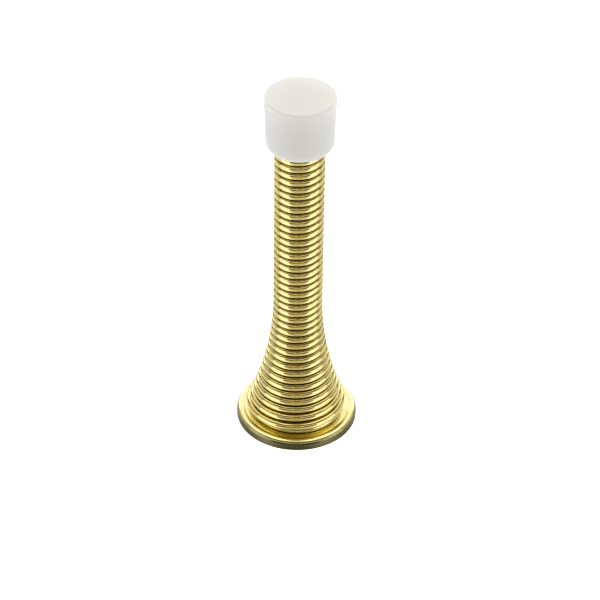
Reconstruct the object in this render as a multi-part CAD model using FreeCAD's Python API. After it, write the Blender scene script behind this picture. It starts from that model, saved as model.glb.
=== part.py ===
import FreeCAD, Part
import math
import os

# Spring door stop: a flared, close-wound wire spring on a pressed base, with a soft tip.
# Millimetres, +Z up. The origin is the middle of the base's foot, in the plane of the wall,
# and the stop stands out from the wall along +Z.

# Overall, from the wall to the end of the tip; the spring gets the turns that this needs
LENGTH = 80.0

# Spring: a close-wound shaft that opens into a flare along an arc
WIRE = 1.6
TURN_GAP = 0.03
COIL_RADIUS = 4.34
FLARE_ARC = 70.7
MOUTH_RADIUS = 10.0
LOWER_END_AZIMUTH = 90.0
GUIDE_POINTS_PER_TURN = 16

# The last turns stand apart, where the hub holds them open
OPEN_TURNS = 3.0
OPEN_GAP = 0.29

# Base: one pressed sheet with a beaded rim, a flange and a raised hub
SHEET = 0.8
FLANGE_HEIGHT = 1.65
FLANGE_WIDTH = 1.2
FLANGE_FALL = 0.1
RIM_STEP = 0.25
RIM_STEP_RUN = 0.25
RIM_STEP_ROUND = 0.35
RIM_CREST = 0.65
RIM_ROUND = 1.0
HUB_HEIGHT = 7.2
HUB_ROUND = 1.0
HUB_FILLET = 0.8
SCREW_HOLE = 4.5

# How the spring sits on the hub: the flank lies against the coil this many turns
# above the wire's lower end, and that end stands this far above the fillet
HUB_CONTACT_TURNS = 1.25
SEAT_CLEARANCE = 0.05
SEAT_RISE = 0.53

# Tip: a soft cap with a blind bore that is pushed over the top turns
TIP_BORE_DEPTH = 7.95
TIP_CLEARANCE = 0.05
TIP_ROOF = 4.0
TIP_WALL = 1.68
TIP_TAPER = 0.31
TIP_LIP = 0.16
TIP_CHAMFER_HEIGHT = 0.9
TIP_CHAMFER_ROUND = 1.5
TIP_TOP_ROUND = 0.35


# The coil's profile and its number of turns, worked out from the sizes above
mouth_slant = math.acos(1 - (MOUTH_RADIUS - COIL_RADIUS) / FLARE_ARC)
mouth_height = FLANGE_HEIGHT + HUB_FILLET + SEAT_RISE
flare_height = mouth_height + FLARE_ARC * math.sin(mouth_slant)
flare_centre_radius = COIL_RADIUS + FLARE_ARC
spring_top = LENGTH - TIP_ROOF - TIP_CLEARANCE
shaft_length = spring_top - WIRE / 2 - flare_height
extra_length = OPEN_GAP * (OPEN_TURNS - 0.5)
turn_count = (shaft_length + FLARE_ARC * mouth_slant - extra_length) / (WIRE + TURN_GAP)


def wound_length(turns):
    """Length down the coil's profile after this many turns from the top of the wire."""
    opened = max(0.0, turns - (turn_count - OPEN_TURNS))
    ramp = min(opened, 1.0)
    return (WIRE + TURN_GAP) * turns + OPEN_GAP * (opened - ramp + ramp * ramp / 2)


def slant_at(length):
    """Angle between the axis and the coil's profile, this far down it."""
    return max(0.0, (length - shaft_length) / FLARE_ARC)


def coil_profile(length):
    """Radius and height of the wire's middle, this far down the coil's profile."""
    slant = slant_at(length)
    radius = flare_centre_radius - FLARE_ARC * math.cos(slant)
    height = flare_height - FLARE_ARC * math.sin(slant) + max(0.0, shaft_length - length)
    return radius, height


def wire_point(turns):
    """Middle of the wire after this many turns; it is wound as a right-hand screw."""
    radius, height = coil_profile(wound_length(turns))
    azimuth = math.radians(LOWER_END_AZIMUTH + 360 * (turn_count - turns))
    return FreeCAD.Vector(radius * math.cos(azimuth), radius * math.sin(azimuth), height)


def wire_path():
    """The wire's middle line as one smooth curve, in a span for each turn."""
    intervals = round(turn_count * GUIDE_POINTS_PER_TURN)
    marks = [turn_count * index / intervals for index in range(intervals + 1)]
    curve = Part.BSplineCurve()
    curve.interpolate(Points=[wire_point(mark) for mark in marks], Parameters=marks)
    stops = list(range(math.ceil(turn_count))) + [turn_count]
    return Part.Wire([curve.toShape(start, end) for start, end in zip(stops, stops[1:])])


def make_spring():
    path = wire_path()
    first = path.Edges[0]
    start = first.valueAt(first.FirstParameter)
    direction = first.tangentAt(first.FirstParameter)
    section = Part.Wire([Part.Circle(start, direction, WIRE / 2).toShape()])
    return path.makePipeShell([section], True, True)


# Profiles of the turned and pressed pieces
def rounded_path(corners):
    """Edges through (radius, height, rounding) corners, each corner rounded by an arc."""
    points = [FreeCAD.Vector(radius, 0, height) for radius, height, rounding in corners]
    edges = []
    last = points[0]
    for index in range(1, len(points) - 1):
        corner = points[index]
        rounding = corners[index][2]
        if rounding > 0:
            back = (points[index - 1] - corner).normalize()
            ahead = (points[index + 1] - corner).normalize()
            half = back.getAngle(ahead) / 2
            inward = (back + ahead).normalize()
            start = corner + back * (rounding / math.tan(half))
            middle = corner + inward * (rounding / math.sin(half) - rounding)
            end = corner + ahead * (rounding / math.tan(half))
            edges.append(Part.LineSegment(last, start).toShape())
            edges.append(Part.Arc(start, middle, end).toShape())
            last = end
        else:
            edges.append(Part.LineSegment(last, corner).toShape())
            last = corner
    edges.append(Part.LineSegment(last, points[-1]).toShape())
    return edges


def turned(face):
    """The solid that a profile in the XZ plane makes when it is turned about the axis."""
    return face.revolve(FreeCAD.Vector(0, 0, 0), FreeCAD.Vector(0, 0, 1), 360)


def hub_radius(height):
    """Radius of the hub's straight flank, which lies along the inside of the flare."""
    slant = slant_at(wound_length(turn_count - HUB_CONTACT_TURNS))
    reach = FLARE_ARC + WIRE / 2 + SEAT_CLEARANCE
    contact_radius = flare_centre_radius - reach * math.cos(slant)
    contact_height = flare_height - reach * math.sin(slant)
    return contact_radius + (contact_height - height) * math.tan(slant)


def make_base():
    hub_foot = hub_radius(FLANGE_HEIGHT)
    flange_edge = hub_foot + FLANGE_WIDTH
    crest_edge = flange_edge + RIM_STEP_RUN
    base_radius = crest_edge + RIM_CREST + RIM_ROUND
    flange_edge_height = FLANGE_HEIGHT - FLANGE_FALL
    rim_height = flange_edge_height + RIM_STEP
    outside = rounded_path([
        (base_radius, 0, 0),
        (base_radius, rim_height, RIM_ROUND),
        (crest_edge, rim_height, RIM_STEP_ROUND),
        (flange_edge, flange_edge_height, RIM_STEP_ROUND),
        (hub_foot, FLANGE_HEIGHT, HUB_FILLET),
        (hub_radius(HUB_HEIGHT), HUB_HEIGHT, HUB_ROUND),
        (SCREW_HOLE / 2, HUB_HEIGHT, 0),
    ])
    return turned(Part.Wire(outside).makeOffset2D(SHEET, 0, True, True))


def make_tip():
    bore_radius = COIL_RADIUS + WIRE / 2 + TIP_CLEARANCE
    bore_end = spring_top + TIP_CLEARANCE
    mouth = bore_end - TIP_BORE_DEPTH
    top = bore_end + TIP_ROOF
    lip_radius = bore_radius + TIP_LIP
    lower_radius = bore_radius + TIP_WALL
    top_radius = lower_radius + TIP_TAPER
    outline = rounded_path([
        (0, bore_end, 0),
        (bore_radius, bore_end, 0),
        (bore_radius, mouth, 0),
        (lip_radius, mouth, 0),
        (lower_radius, mouth + TIP_CHAMFER_HEIGHT, TIP_CHAMFER_ROUND),
        (top_radius, top, TIP_TOP_ROUND),
        (0, top, 0),
        (0, bore_end, 0),
    ])
    return turned(Part.Face(Part.Wire(outline)))


pieces = {
    "base_plate": make_base(),
    "spring": make_spring(),
    "buffer_tip": make_tip(),
}

os.makedirs("parts", exist_ok=True)
for name, piece in pieces.items():
    piece.exportStep(os.path.join("parts", name + ".step"))
    box = piece.BoundBox
    print(name, piece.ShapeType, "valid", piece.isValid(), "solids", len(piece.Solids))
    print("  volume", round(piece.Volume, 2), "from", box.ZMin, "to", box.ZMax, "radius", box.XMax)
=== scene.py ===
import math

import bpy
from mathutils import Matrix, Vector


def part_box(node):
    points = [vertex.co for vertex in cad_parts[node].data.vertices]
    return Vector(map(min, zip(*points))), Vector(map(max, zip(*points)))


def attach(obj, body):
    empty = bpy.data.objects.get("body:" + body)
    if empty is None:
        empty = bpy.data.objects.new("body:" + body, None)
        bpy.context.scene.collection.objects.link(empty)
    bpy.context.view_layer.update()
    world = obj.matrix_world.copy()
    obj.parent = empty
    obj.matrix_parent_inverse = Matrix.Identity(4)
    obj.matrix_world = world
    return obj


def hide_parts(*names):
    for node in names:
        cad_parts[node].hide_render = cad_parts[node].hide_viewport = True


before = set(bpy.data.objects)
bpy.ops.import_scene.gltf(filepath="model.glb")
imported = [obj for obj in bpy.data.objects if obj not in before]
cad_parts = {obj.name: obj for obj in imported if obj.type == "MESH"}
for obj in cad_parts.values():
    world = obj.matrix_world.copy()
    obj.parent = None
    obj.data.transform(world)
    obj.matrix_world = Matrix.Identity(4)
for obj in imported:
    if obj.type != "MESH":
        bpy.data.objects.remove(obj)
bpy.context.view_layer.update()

# Base plate. One disc of thin steel, pressed into a beaded rim, a flange and a raised hub, with
# a screw hole through the hub, then polished and brass plated. A wood screw holds it to the wall.
SHEET = 0.0008
SCREW_HOLE_RADIUS = 0.00225
FLANGE_HEIGHT = 0.00208
FLANGE_WIDTH = 0.00056
FLANGE_FALL = 0.0002
FLANGE_FALL_RUN = 0.00095
FLANGE_ROUND = 0.0006
RIM_STEP = 0.00013
RIM_STEP_RUN = 0.0005
RIM_STEP_ROUND = 0.0004
RIM_CREST = 0.00025
RIM_ROUND = 0.0010
HUB_ROUND = 0.0010
HUB_FILLET = 0.0005
HUB_LEAN = math.radians(21.14)
BASE_SEGMENTS = 192
ARC_STEP = math.radians(7.5)
BRASS_COLOUR = (0.90, 0.79, 0.41, 1)
BRASS_WORN_COLOUR = (0.83, 0.71, 0.33, 1)
# Painted shade for the spring's grooves, where the turns lie against each other.
GROOVE_SHADE_COLOUR = (0.11, 0.075, 0.02, 1)
FLANGE_COLOUR = (0.93, 0.86, 0.50, 1)
FLANGE_WORN_COLOUR = (0.87, 0.79, 0.43, 1)
# Painted shade on the base's outer wall: its dark colour, and where on the radius it starts and is
# full.
WALL_SHADE_COLOUR = (0.15, 0.135, 0.075, 1)
WALL_SHADE_STARTS = 0.01225
WALL_SHADE_FULL = 0.01262
WALL_SHADE_SHARE = 0.92


def arc_points(start, end, centre, turn):
    """Points from start to end around centre, through the signed angle turn."""
    steps = max(2, round(abs(turn) / ARC_STEP))
    arm = start - centre
    points = []
    for index in range(steps + 1):
        angle = turn * index / steps
        cosine = math.cos(angle)
        sine = math.sin(angle)
        swung = Vector((arm.x * cosine - arm.y * sine, arm.x * sine + arm.y * cosine))
        points.append(centre + swung)
    points[-1] = end
    return points


def rounded_profile(corners):
    """A (radius, height) profile through the corners, each rounded by its third value."""
    places = [Vector(corner[:2]) for corner in corners]
    profile = [places[0]]
    for index in range(1, len(places) - 1):
        corner = places[index]
        rounding = corners[index][2]
        back = (places[index - 1] - corner).normalized()
        ahead = (places[index + 1] - corner).normalized()
        if rounding == 0:
            profile.append(corner)
            continue
        half = back.angle(ahead) / 2
        centre = corner + (back + ahead).normalized() * (rounding / math.sin(half))
        start = corner + back * (rounding / math.tan(half))
        end = corner + ahead * (rounding / math.tan(half))
        side = math.copysign(1, -back.x * ahead.y + back.y * ahead.x)
        profile += arc_points(start, end, centre, side * (math.pi - 2 * half))
    profile.append(places[-1])
    return profile


def moved_aside(corners, distance):
    """The same corners on a path beside them, on the right-hand side, with the arcs to suit."""
    places = [Vector(corner[:2]) for corner in corners]
    rights = []
    for start, end in zip(places, places[1:]):
        along = (end - start).normalized()
        rights.append(Vector((along.y, -along.x)))
    moved = [(*(places[0] + rights[0] * distance), 0)]
    for index in range(1, len(places) - 1):
        first = rights[index - 1]
        second = rights[index]
        shift = (first + second) * (distance / (1 + first.dot(second)))
        side = math.copysign(1, first.x * second.y - first.y * second.x)
        rounding = max(0, corners[index][2] + side * distance) if corners[index][2] else 0
        moved.append((*(places[index] + shift), rounding))
    moved.append((*(places[-1] + rights[-1] * distance), 0))
    return moved


def turned_mesh(name, profile, segments):
    """A closed mesh that a (radius, height) loop makes when it is turned about the Z axis.

    The loop runs up the outside and back down the inside, so all faces look outward. A point on
    the axis is one vertex, and the faces round it are triangles.
    """
    places = []
    rings = []
    for point in profile:
        steps = segments if point.x > 0 else 1
        rings.append([len(places) + index % steps for index in range(segments + 1)])
        for index in range(steps):
            angle = math.tau * index / segments
            places.append((point.x * math.cos(angle), point.x * math.sin(angle), point.y))
    faces = []
    for ring, following in zip(rings, rings[1:] + rings[:1]):
        for index in range(segments):
            corners = (ring[index], ring[index + 1], following[index + 1], following[index])
            face = list(dict.fromkeys(corners))
            if len(face) > 2:
                faces.append(face)
    data = bpy.data.meshes.new(name)
    data.from_pydata(places, [], faces)
    piece = bpy.data.objects.new(name, data)
    bpy.context.scene.collection.objects.link(piece)
    return piece


def smooth_but_sharp(piece, degrees):
    """Smooth shading over the whole piece, apart from edges that turn by more than this."""
    piece.data.shade_smooth()
    piece.data.set_sharp_from_angle(angle=math.radians(degrees))


def base_profile():
    """The sheet's section: from the wall's foot up over the rim and the hub, and back inside."""
    low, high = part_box("base_plate")
    base_radius = high[0]
    crest_edge = base_radius - RIM_ROUND - RIM_CREST
    flange_edge = crest_edge - RIM_STEP_RUN
    flange_shoulder = flange_edge - FLANGE_FALL_RUN
    hub_foot = flange_shoulder - FLANGE_WIDTH
    flange_edge_height = FLANGE_HEIGHT - FLANGE_FALL
    hub_top = high[2]
    hub_top_radius = hub_foot - (hub_top - FLANGE_HEIGHT) * math.tan(HUB_LEAN)
    outside = [
        (base_radius, low[2], 0),
        (base_radius, flange_edge_height + RIM_STEP, RIM_ROUND),
        (crest_edge, flange_edge_height + RIM_STEP, RIM_STEP_ROUND),
        (flange_edge, flange_edge_height, RIM_STEP_ROUND),
        (flange_shoulder, FLANGE_HEIGHT, FLANGE_ROUND),
        (hub_foot, FLANGE_HEIGHT, HUB_FILLET),
        (hub_top_radius, hub_top, HUB_ROUND),
        (SCREW_HOLE_RADIUS, hub_top, 0),
    ]
    inside = moved_aside(outside, -SHEET)
    return rounded_profile(outside) + rounded_profile(inside)[::-1]


def node(tree, kind, settings=(), **sockets):
    """Adds a node, sets its properties, then sets or links its inputs, by name or as _0, _1 ..."""
    made = tree.nodes.new(kind)
    for key, value in dict(settings).items():
        setattr(made, key, value)
    for key, value in sockets.items():
        place = int(key[1:]) if key[1:].isdigit() else key.replace("_", " ")
        socket = made.inputs[place]
        if isinstance(value, bpy.types.NodeSocket):
            tree.links.new(value, socket)
        else:
            socket.default_value = value
    return made


def calculated(tree, operation, *values):
    """The result of one math node that works on the values in order."""
    inputs = {f"_{index}": value for index, value in enumerate(values)}
    return node(tree, "ShaderNodeMath", {"operation": operation}, **inputs).outputs[0]


def smooth_step(tree, value, start, end, low=0.0, high=1.0):
    """Goes smoothly from low to high as the value goes from start to end."""
    return node(
        tree, "ShaderNodeMapRange", {"interpolation_type": "SMOOTHSTEP"}, Value=value,
        From_Min=start, From_Max=end, To_Min=low, To_Max=high,
    ).outputs["Result"]


def mixed_colour(tree, share, first, second):
    """The first colour where the share is 0, and the second where it is 1."""
    return node(
        tree, "ShaderNodeMix", {"data_type": "RGBA"}, _0=share, _6=first, _7=second,
    ).outputs[2]


def place_across(tree):
    """The place on the object, seen along the axis."""
    place = node(tree, "ShaderNodeTexCoord").outputs["Object"]
    across = node(
        tree, "ShaderNodeVectorMath", {"operation": "MULTIPLY"}, _0=place, _1=(1, 1, 0),
    )
    return across.outputs[0]


def distance_out(tree, across):
    """How far a place is from the axis."""
    length = node(tree, "ShaderNodeVectorMath", {"operation": "LENGTH"}, _0=across)
    return length.outputs["Value"]


def plating_and_shade_group():
    """Polished plating, slow changes of tone and fine marks left by the polishing wheel, with
    painted shade laid over it by its share.
    """
    group = bpy.data.node_groups.new("polished_plating", "ShaderNodeTree")
    for name, kind, default in (
        ("Bright", "NodeSocketColor", BRASS_COLOUR),
        ("Worn", "NodeSocketColor", BRASS_WORN_COLOUR),
        ("Thin", "NodeSocketColor", GROOVE_SHADE_COLOUR),
        ("Thin Share", "NodeSocketFloat", 0.0),
        ("Roughness", "NodeSocketFloat", 0.09),
        ("Thin Roughness", "NodeSocketFloat", 0.25),
        ("Tone Scale", "NodeSocketFloat", 180.0),
        ("Mark Scale", "NodeSocketFloat", 2400.0),
        ("Mark Depth", "NodeSocketFloat", 0.04),
    ):
        socket = group.interface.new_socket(name, in_out="INPUT", socket_type=kind)
        socket.default_value = default
    for name, kind in (
        ("Colour", "NodeSocketColor"),
        ("Roughness", "NodeSocketFloat"),
        ("Height", "NodeSocketFloat"),
    ):
        group.interface.new_socket(name, in_out="OUTPUT", socket_type=kind)
    given = node(group, "NodeGroupInput").outputs
    place = node(group, "ShaderNodeTexCoord").outputs["Object"]
    tone = node(group, "ShaderNodeTexNoise", Vector=place, Scale=given["Tone Scale"], Detail=3.0)
    marks = node(group, "ShaderNodeTexNoise", Vector=place, Scale=given["Mark Scale"], Detail=4.0)
    polished = mixed_colour(group, tone.outputs["Fac"], given["Worn"], given["Bright"])
    swing = node(
        group, "ShaderNodeMapRange", Value=marks.outputs["Fac"], From_Min=0.3, From_Max=0.7,
        To_Min=0.88, To_Max=1.15,
    )
    polish = calculated(group, "MULTIPLY", swing.outputs["Result"], given["Roughness"])
    # Where the share is 1, painted shade takes the place of the plating's colour and roughness.
    node(
        group, "NodeGroupOutput",
        Colour=mixed_colour(group, given["Thin Share"], polished, given["Thin"]),
        Roughness=calculated(
            group, "MULTIPLY_ADD", given["Thin Share"], given["Thin Roughness"], polish,
        ),
        Height=calculated(group, "MULTIPLY", marks.outputs["Fac"], given["Mark Depth"]),
    )
    return group


def plated_material(name, thin_share, **values):
    """A polished metal from the plating group; the second argument builds the mask of painted
    shade.
    """
    material = bpy.data.materials.new(name)
    material.use_nodes = True
    tree = material.node_tree
    finish = node(
        tree, "ShaderNodeGroup", {"node_tree": plating}, Thin_Share=thin_share(tree), **values,
    )
    relief = node(
        tree, "ShaderNodeBump", Height=finish.outputs["Height"], Strength=0.1, Distance=0.00002,
    )
    shader = tree.nodes["Principled BSDF"]
    shader.inputs["Metallic"].default_value = 1.0
    tree.links.new(finish.outputs["Colour"], shader.inputs["Base Color"])
    tree.links.new(finish.outputs["Roughness"], shader.inputs["Roughness"])
    tree.links.new(relief.outputs["Normal"], shader.inputs["Normal"])
    return material


def painted_wall_shade(tree):
    """Painted shade: the outer wall is darkened, standing in for the shaded floor that it mirrors.
    """
    radius = distance_out(tree, place_across(tree))
    return smooth_step(tree, radius, WALL_SHADE_STARTS, WALL_SHADE_FULL, high=WALL_SHADE_SHARE)


plating = plating_and_shade_group()
base = turned_mesh("pressed_base", base_profile(), BASE_SEGMENTS)
smooth_but_sharp(base, 35)
# The base's material mixes painted shade into the plating on the outer wall.
base.data.materials.append(plated_material(
    "plated_pressed_steel", painted_wall_shade, Bright=FLANGE_COLOUR, Worn=FLANGE_WORN_COLOUR,
    Thin=WALL_SHADE_COLOUR, Roughness=0.22, Thin_Roughness=0.03, Mark_Scale=900.0, Mark_Depth=0.02,
))
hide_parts("base_plate")
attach(base, "root")

# Spring. One length of hard steel wire, wound right-hand on a mandrel with its turns touching,
# then opened into a flare whose last turns grip the hub, and brass plated after winding.
WIRE_RADIUS = 0.0008
WIRE_PITCH = 0.00163
COIL_RADIUS = 0.00434
FLARE_ARC = 0.0707
MOUTH_RADIUS = 0.0100
MOUTH_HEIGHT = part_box("spring")[0][2] + WIRE_RADIUS
LOWER_END_AZIMUTH = math.radians(90)
OPEN_TURNS = 3.0
OPEN_GAP = 0.00029
STEPS_PER_TURN = 72
WIRE_SIDES = 24
# Where the painted groove shade starts and where it is full, by nearness to the next turn.
GROOVE_SHADE_STARTS = 0.80
GROOVE_SHADE_FULL = 0.93


def turns_up_to(top):
    """How many turns the wire needs from the hub up to this height."""
    mouth_slant = math.acos(1 - (MOUTH_RADIUS - COIL_RADIUS) / FLARE_ARC)
    shaft = top - WIRE_RADIUS - MOUTH_HEIGHT - FLARE_ARC * math.sin(mouth_slant)
    return (shaft + FLARE_ARC * mouth_slant - OPEN_GAP * (OPEN_TURNS - 0.5)) / WIRE_PITCH


def spring_tree(material, steps):
    """Geometry nodes that wind the wire: a curve set out turn by turn, swept by a round section."""
    tree = bpy.data.node_groups.new("wound_spring", "GeometryNodeTree")
    for name, default in (
        ("Wire Radius", WIRE_RADIUS),
        ("Pitch", WIRE_PITCH),
        ("Turns", 1.0),
        ("Coil Radius", COIL_RADIUS),
        ("Flare Arc", FLARE_ARC),
        ("Mouth Radius", MOUTH_RADIUS),
        ("Open Turns", OPEN_TURNS),
        ("Open Gap", OPEN_GAP),
        ("Lower End Azimuth", LOWER_END_AZIMUTH),
        ("Top", 0.0),
    ):
        socket = tree.interface.new_socket(name, in_out="INPUT", socket_type="NodeSocketFloat")
        socket.default_value = default
    tree.interface.new_socket("Geometry", in_out="OUTPUT", socket_type="NodeSocketGeometry")
    given = node(tree, "NodeGroupInput").outputs

    def op(operation, *values):
        return calculated(tree, operation, *values)

    def opened_by(turns):
        close_wound = op("SUBTRACT", given["Turns"], given["Open Turns"])
        return op("MAXIMUM", op("SUBTRACT", turns, close_wound), 0.0)

    def wound_length(turns):
        opened = opened_by(turns)
        ramp = op("MINIMUM", opened, 1.0)
        half_square = op("MULTIPLY", op("MULTIPLY", ramp, ramp), 0.5)
        eased = op("ADD", op("SUBTRACT", opened, ramp), half_square)
        gaps = op("MULTIPLY", given["Open Gap"], eased)
        return op("ADD", op("MULTIPLY", given["Pitch"], turns), gaps)

    line = node(tree, "GeometryNodeMeshLine", {"mode": "OFFSET"}, Count=steps + 1)
    index = node(tree, "GeometryNodeInputIndex").outputs[0]
    turns = op("MULTIPLY", op("DIVIDE", index, float(steps)), given["Turns"])
    spread = op("SUBTRACT", given["Mouth Radius"], given["Coil Radius"])
    mouth_slant = op("ARCCOSINE", op("SUBTRACT", 1.0, op("DIVIDE", spread, given["Flare Arc"])))
    flare = op("MULTIPLY", given["Flare Arc"], mouth_slant)
    shaft = op("SUBTRACT", wound_length(given["Turns"]), flare)
    length = wound_length(turns)
    slant = op("MAXIMUM", op("DIVIDE", op("SUBTRACT", length, shaft), given["Flare Arc"]), 0.0)
    arc_centre = op("ADD", given["Coil Radius"], given["Flare Arc"])
    radius = op("SUBTRACT", arc_centre, op("MULTIPLY", given["Flare Arc"], op("COSINE", slant)))
    start = op("SUBTRACT", given["Top"], given["Wire Radius"])
    flare_fall = op("MULTIPLY", given["Flare Arc"], op("SINE", slant))
    fall = op("ADD", op("MINIMUM", length, shaft), flare_fall)
    height = op("SUBTRACT", start, fall)
    to_go = op("MULTIPLY", op("SUBTRACT", given["Turns"], turns), math.tau)
    azimuth = op("ADD", given["Lower End Azimuth"], to_go)
    place = node(
        tree, "ShaderNodeCombineXYZ", X=op("MULTIPLY", radius, op("COSINE", azimuth)),
        Y=op("MULTIPLY", radius, op("SINE", azimuth)), Z=height,
    )
    wound = node(
        tree, "GeometryNodeSetPosition", Geometry=line.outputs[0], Position=place.outputs[0],
    )
    aside = node(
        tree, "ShaderNodeCombineXYZ", X=op("MULTIPLY", op("SINE", slant), op("COSINE", azimuth)),
        Y=op("MULTIPLY", op("SINE", slant), op("SINE", azimuth)),
        Z=op("MULTIPLY", op("COSINE", slant), -1.0),
    )
    apart = op("MINIMUM", opened_by(turns), 1.0)
    kept = tree.nodes.new("GeometryNodeCaptureAttribute")
    kept.capture_items.new("VECTOR", "Middle")
    kept.capture_items.new("VECTOR", "Aside")
    kept.capture_items.new("FLOAT", "Apart")
    tree.links.new(wound.outputs[0], kept.inputs["Geometry"])
    tree.links.new(place.outputs[0], kept.inputs["Middle"])
    tree.links.new(aside.outputs[0], kept.inputs["Aside"])
    tree.links.new(apart, kept.inputs["Apart"])
    path = node(tree, "GeometryNodeMeshToCurve", Mesh=kept.outputs["Geometry"])
    upright = node(tree, "GeometryNodeSetCurveNormal", {"mode": "Z_UP"}, Curve=path.outputs[0])
    section = node(
        tree, "GeometryNodeCurvePrimitiveCircle", Resolution=WIRE_SIDES,
        Radius=given["Wire Radius"],
    )
    wire = node(
        tree, "GeometryNodeCurveToMesh", Curve=upright.outputs[0], Profile_Curve=section.outputs[0],
        Fill_Caps=True,
    )
    arm = node(
        tree, "ShaderNodeVectorMath", {"operation": "SUBTRACT"},
        _0=node(tree, "GeometryNodeInputPosition").outputs[0], _1=kept.outputs["Middle"],
    )
    reach = node(
        tree, "ShaderNodeVectorMath", {"operation": "DOT_PRODUCT"}, _0=arm.outputs[0],
        _1=kept.outputs["Aside"],
    )
    nearness = op("DIVIDE", op("ABSOLUTE", reach.outputs["Value"]), given["Wire Radius"])
    touching = op("MULTIPLY", nearness, op("SUBTRACT", 1.0, kept.outputs["Apart"]))
    marked = node(
        tree, "GeometryNodeStoreNamedAttribute", {"data_type": "FLOAT", "domain": "POINT"},
        Geometry=wire.outputs[0], Name="groove", Value=touching,
    )
    real = node(tree, "GeometryNodeRealizeInstances", Geometry=marked.outputs[0])
    dressed = node(tree, "GeometryNodeSetMaterial", Geometry=real.outputs[0], Material=material)
    node(tree, "NodeGroupOutput", Geometry=dressed.outputs[0])
    return tree


def modelled_by_nodes(name, tree, **values):
    """Runs a geometry node tree once and keeps its result as a plain mesh object."""
    carrier = bpy.data.objects.new(name + "_carrier", bpy.data.meshes.new(name + "_carrier"))
    bpy.context.scene.collection.objects.link(carrier)
    modifier = carrier.modifiers.new("shape", "NODES")
    modifier.node_group = tree
    for item in tree.interface.items_tree:
        key = item.name.replace(" ", "_")
        if key in values:
            modifier[item.identifier] = values[key]
    evaluated = carrier.evaluated_get(bpy.context.evaluated_depsgraph_get())
    data = bpy.data.meshes.new_from_object(evaluated)
    bpy.data.objects.remove(carrier)
    data.name = name
    piece = bpy.data.objects.new(name, data)
    bpy.context.scene.collection.objects.link(piece)
    return piece


def painted_groove_shade(tree):
    """Painted shade: the wire is darkened where each turn lies against the next one."""
    nearness = node(tree, "ShaderNodeAttribute", {"attribute_name": "groove"}).outputs["Fac"]
    return smooth_step(tree, nearness, GROOVE_SHADE_STARTS, GROOVE_SHADE_FULL)


# The wire's material, with painted shade in the grooves.
wire_finish = plated_material("plated_spring_wire", painted_groove_shade)
spring_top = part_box("spring")[1][2]
turns = turns_up_to(spring_top)
winding = spring_tree(wire_finish, round(turns * STEPS_PER_TURN))
coil = modelled_by_nodes("wound_coil", winding, Top=spring_top, Turns=turns)
smooth_but_sharp(coil, 50)
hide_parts("spring")
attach(coil, "root")

# Tip. A moulded cap of soft white plastic with a blind bore, stretched over the top turns of
# the spring. It meets the door, and its lower edge is drawn in to the wire.
TIP_LIP = 0.00016
TIP_CLEARANCE = 0.00005
TIP_TAPER = 0.00031
TIP_ROOF = 0.0040
TIP_CHAMFER_HEIGHT = 0.0009
TIP_CHAMFER_ROUND = 0.0015
TIP_TOP_ROUND = 0.00035
TIP_SEGMENTS = 160
TIP_COLOUR = (0.985, 0.985, 0.915, 1)
TIP_SHADE_COLOUR = (0.965, 0.965, 0.885, 1)
TIP_CLOUD_SCALE = 220.0
TIP_GRAIN_SCALE = 3200.0
TIP_GRAIN_DEPTH = 0.00004
TIP_LIGHT_DEPTH = 0.003


def tip_profile():
    """The cap's section, from the end of the bore round the lip to the middle of the flat top."""
    low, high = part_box("buffer_tip")
    bore_radius = COIL_RADIUS + WIRE_RADIUS + TIP_CLEARANCE
    bore_end = high[2] - TIP_ROOF
    top_radius = high[0]
    corners = [
        (0, bore_end, 0),
        (bore_radius, bore_end, 0),
        (bore_radius, low[2], 0),
        (bore_radius + TIP_LIP, low[2], 0),
        (top_radius - TIP_TAPER, low[2] + TIP_CHAMFER_HEIGHT, TIP_CHAMFER_ROUND),
        (top_radius, high[2], TIP_TOP_ROUND),
        (0, high[2], 0),
    ]
    return rounded_profile(corners)


def soft_plastic():
    """Matte soft plastic: almost even white, with a faint grain and slow clouding."""
    material = bpy.data.materials.new("soft_white_plastic")
    material.use_nodes = True
    tree = material.node_tree
    place = node(tree, "ShaderNodeTexCoord").outputs["Object"]
    cloud = node(tree, "ShaderNodeTexNoise", Vector=place, Scale=TIP_CLOUD_SCALE, Detail=3.0)
    grain = node(tree, "ShaderNodeTexNoise", Vector=place, Scale=TIP_GRAIN_SCALE, Detail=3.0)
    colour = mixed_colour(tree, cloud.outputs["Fac"], TIP_SHADE_COLOUR, TIP_COLOUR)
    relief = node(
        tree, "ShaderNodeBump", Height=grain.outputs["Fac"], Strength=0.25,
        Distance=TIP_GRAIN_DEPTH,
    )
    shader = tree.nodes["Principled BSDF"]
    shader.inputs["Roughness"].default_value = 0.55
    shader.inputs["Specular IOR Level"].default_value = 0.35
    shader.inputs["Subsurface Weight"].default_value = 0.8
    shader.inputs["Subsurface Radius"].default_value = (1.0, 1.0, 0.95)
    shader.inputs["Subsurface Scale"].default_value = TIP_LIGHT_DEPTH
    tree.links.new(colour, shader.inputs["Base Color"])
    tree.links.new(relief.outputs["Normal"], shader.inputs["Normal"])
    return material


tip = turned_mesh("moulded_tip", tip_profile(), TIP_SEGMENTS)
smooth_but_sharp(tip, 30)
tip.data.materials.append(soft_plastic())
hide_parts("buffer_tip")
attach(tip, "root")

# Floor. A wide plain white sheet that the stop stands on. It looks like blank paper to the camera,
# and the plating mirrors its painted glow: bright at both sides of the front, dim in the middle.
FLOOR_HALF_WIDTH = 3.0
FLOOR_COLOUR = (0.86, 0.86, 0.85, 1)
FLOOR_LIFT = 0.85
FLOOR_GLOW = 0.75
FLOOR_GLOW_COLOUR = (0.96, 1.0, 1.12, 1)
NEAR_ENDS = (0.0135, 0.03)
GLOW_STARTS = (-0.86, -0.66)
GLOW_FADES = (-0.5, 0.05)
GLOW_LEFT = 0.2
NEAR_START_SHIFT = 0.17
NEAR_FADE_SHIFT = 0.6


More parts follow.
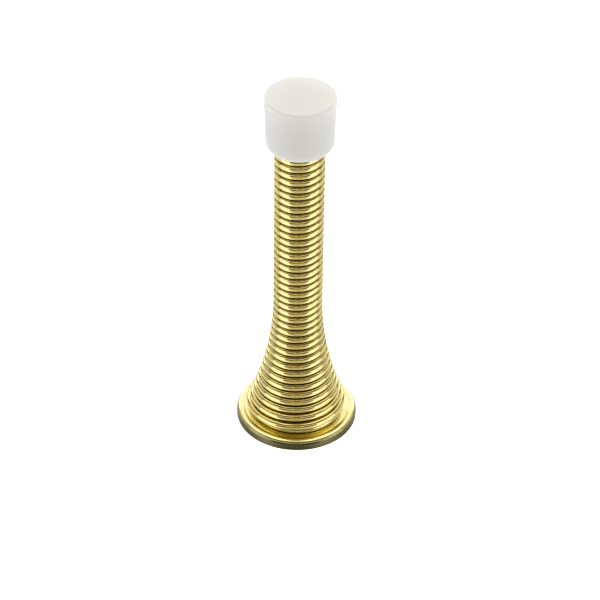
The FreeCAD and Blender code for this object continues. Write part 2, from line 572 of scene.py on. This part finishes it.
def floor_glow(tree):
    """How brightly the floor's painted glow shines, by its bearing from the stop: -1 is in front, 0
    beside.

    The base's wall mirrors a place near the rim at the place's own bearing, and the turns mirror
    one far off at half of that. So both ends of the bright stretch move with the distance.
    """
    across = place_across(tree)
    bearing = node(tree, "ShaderNodeVectorMath", {"operation": "NORMALIZE"}, _0=across)
    backward = node(tree, "ShaderNodeSeparateXYZ", _0=bearing.outputs[0]).outputs["Y"]
    near = smooth_step(tree, distance_out(tree, across), *NEAR_ENDS, low=1.0, high=0.0)
    start = calculated(tree, "MULTIPLY_ADD", near, NEAR_START_SHIFT, backward)
    fade = calculated(tree, "MULTIPLY_ADD", near, NEAR_FADE_SHIFT, backward)
    started = smooth_step(tree, start, *GLOW_STARTS)
    kept = smooth_step(tree, fade, *GLOW_FADES, low=1.0, high=GLOW_LEFT)
    level = calculated(tree, "MULTIPLY_ADD", near, 1.0 - FLOOR_GLOW, FLOOR_GLOW)
    return calculated(tree, "MULTIPLY", calculated(tree, "MULTIPLY", started, kept), level)


def white_sheet():
    """Matte white, which the camera sees as even white; all other rays see the floor's painted
    glow.
    """
    material = bpy.data.materials.new("white_sheet")
    material.use_nodes = True
    tree = material.node_tree
    mirrored = mixed_colour(tree, floor_glow(tree), (0, 0, 0, 1), FLOOR_GLOW_COLOUR)
    sight = node(tree, "ShaderNodeLightPath").outputs["Is Camera Ray"]
    shader = tree.nodes["Principled BSDF"]
    shader.inputs["Base Color"].default_value = FLOOR_COLOUR
    shader.inputs["Roughness"].default_value = 0.9
    shader.inputs["Specular IOR Level"].default_value = 0.1
    shader.inputs["Emission Strength"].default_value = FLOOR_LIFT
    tree.links.new(
        mixed_colour(tree, sight, mirrored, (1, 1, 1, 1)), shader.inputs["Emission Color"],
    )
    return material


floor_data = bpy.data.meshes.new("white_floor")
floor_corners = [
    (x * FLOOR_HALF_WIDTH, y * FLOOR_HALF_WIDTH, 0) for x, y in ((-1, -1), (1, -1), (1, 1), (-1, 1))
]
floor_data.from_pydata(floor_corners, [], [(0, 1, 2, 3)])
floor = bpy.data.objects.new("white_floor", floor_data)
floor_data.materials.append(white_sheet())
bpy.context.scene.collection.objects.link(floor)

# Light. Soft daylight panels stand at both sides and behind, and others hang above the back. The
# lamp in front is weak and warm, so each turn has a brown middle between two pale patches.
PANEL_TARGET = Vector((0, 0, 0.035))
PANEL_DISTANCE = 1.2
DAYLIGHT = (0.98, 1.0, 1.05)
LAMPLIGHT = (1.0, 0.82, 0.40)
ROOM_COLOUR = (1.0, 0.93, 0.75)
ROOM_STRENGTH = 0.12


def soft_panel(name, azimuth, elevation, width, height, brightness, colour=DAYLIGHT):
    """A rectangular light that faces the stop, with all angles in degrees, seen from the stop."""
    light = bpy.data.lights.new(name, "AREA")
    light.shape = "RECTANGLE"
    light.size = 2 * PANEL_DISTANCE * math.tan(math.radians(width / 2))
    light.size_y = 2 * PANEL_DISTANCE * math.tan(math.radians(height / 2))
    light.energy = brightness * math.pi * light.size * light.size_y
    light.color = colour
    panel = bpy.data.objects.new(name, light)
    flat = math.cos(math.radians(elevation)) * PANEL_DISTANCE
    panel.location = PANEL_TARGET + Vector((
        flat * math.sin(math.radians(azimuth)), -flat * math.cos(math.radians(azimuth)),
        math.sin(math.radians(elevation)) * PANEL_DISTANCE,
    ))
    panel.rotation_euler = (PANEL_TARGET - panel.location).to_track_quat("-Z", "Y").to_euler()
    bpy.context.scene.collection.objects.link(panel)


for side, name in ((-1, "left"), (1, "right")):
    for place, azimuth, elevation, width, height, brightness in (
        ("low", 67, 10, 46, 20, 0.93),
        ("high", 67, 32, 46, 20, 0.5),
        ("fill", 26, 35, 26, 19, 0.46),
        ("rear", 110, 15, 36, 30, 0.34),
    ):
        soft_panel(
            f"{name}_{place}_panel", side * azimuth, elevation, width, height, brightness,
        )
soft_panel("backdrop_panel", 180, 20, 80, 30, 1.2)
soft_panel("back_panel", 180, 62, 80, 50, 0.64)
soft_panel("top_panel", 180, 78, 40, 40, 0.75, ROOM_COLOUR)
soft_panel("front_panel", 0, 28, 24, 36, 0.26, LAMPLIGHT)
world = bpy.data.worlds.new("dim_room")
world.use_nodes = True
room = world.node_tree
sight = node(room, "ShaderNodeLightPath").outputs["Is Camera Ray"]
dim_colour = (*(ROOM_STRENGTH * value for value in ROOM_COLOUR), 1)
room.links.new(
    mixed_colour(room, sight, dim_colour, (1, 1, 1, 1)), room.nodes["Background"].inputs["Color"],
)
bpy.context.scene.world = world
bpy.context.scene.view_settings.view_transform = "Standard"
bpy.context.scene.view_settings.look = "High Contrast"

# Camera. A long lens above the front, at the photograph's angle and framing. It is turned by a
# little under one degree, because the stop leans that much in the picture.
CAMERA_ELEVATION = math.radians(37.93)
CAMERA_ROLL = math.radians(0.8)
CAMERA_DISTANCE = 0.5035
CAMERA_TARGET = Vector((0.00044, 0, 0.02995))
SENSOR_WIDTH = 36.0
FOCAL_LENGTH = 146.9

backward = Vector((0, -math.cos(CAMERA_ELEVATION), math.sin(CAMERA_ELEVATION)))
sideways = Vector((1, 0, 0))
upward = backward.cross(sideways)
right = sideways * math.cos(CAMERA_ROLL) + upward * math.sin(CAMERA_ROLL)
above = upward * math.cos(CAMERA_ROLL) - sideways * math.sin(CAMERA_ROLL)
lens = bpy.data.cameras.new("camera")
lens.lens = FOCAL_LENGTH
lens.sensor_width = SENSOR_WIDTH
lens.clip_start = 0.01
camera = bpy.data.objects.new("camera", lens)
turn = Matrix((right, above, backward)).transposed().to_4x4()
camera.matrix_world = Matrix.Translation(CAMERA_TARGET + backward * CAMERA_DISTANCE) @ turn
bpy.context.scene.collection.objects.link(camera)
bpy.context.scene.camera = camera
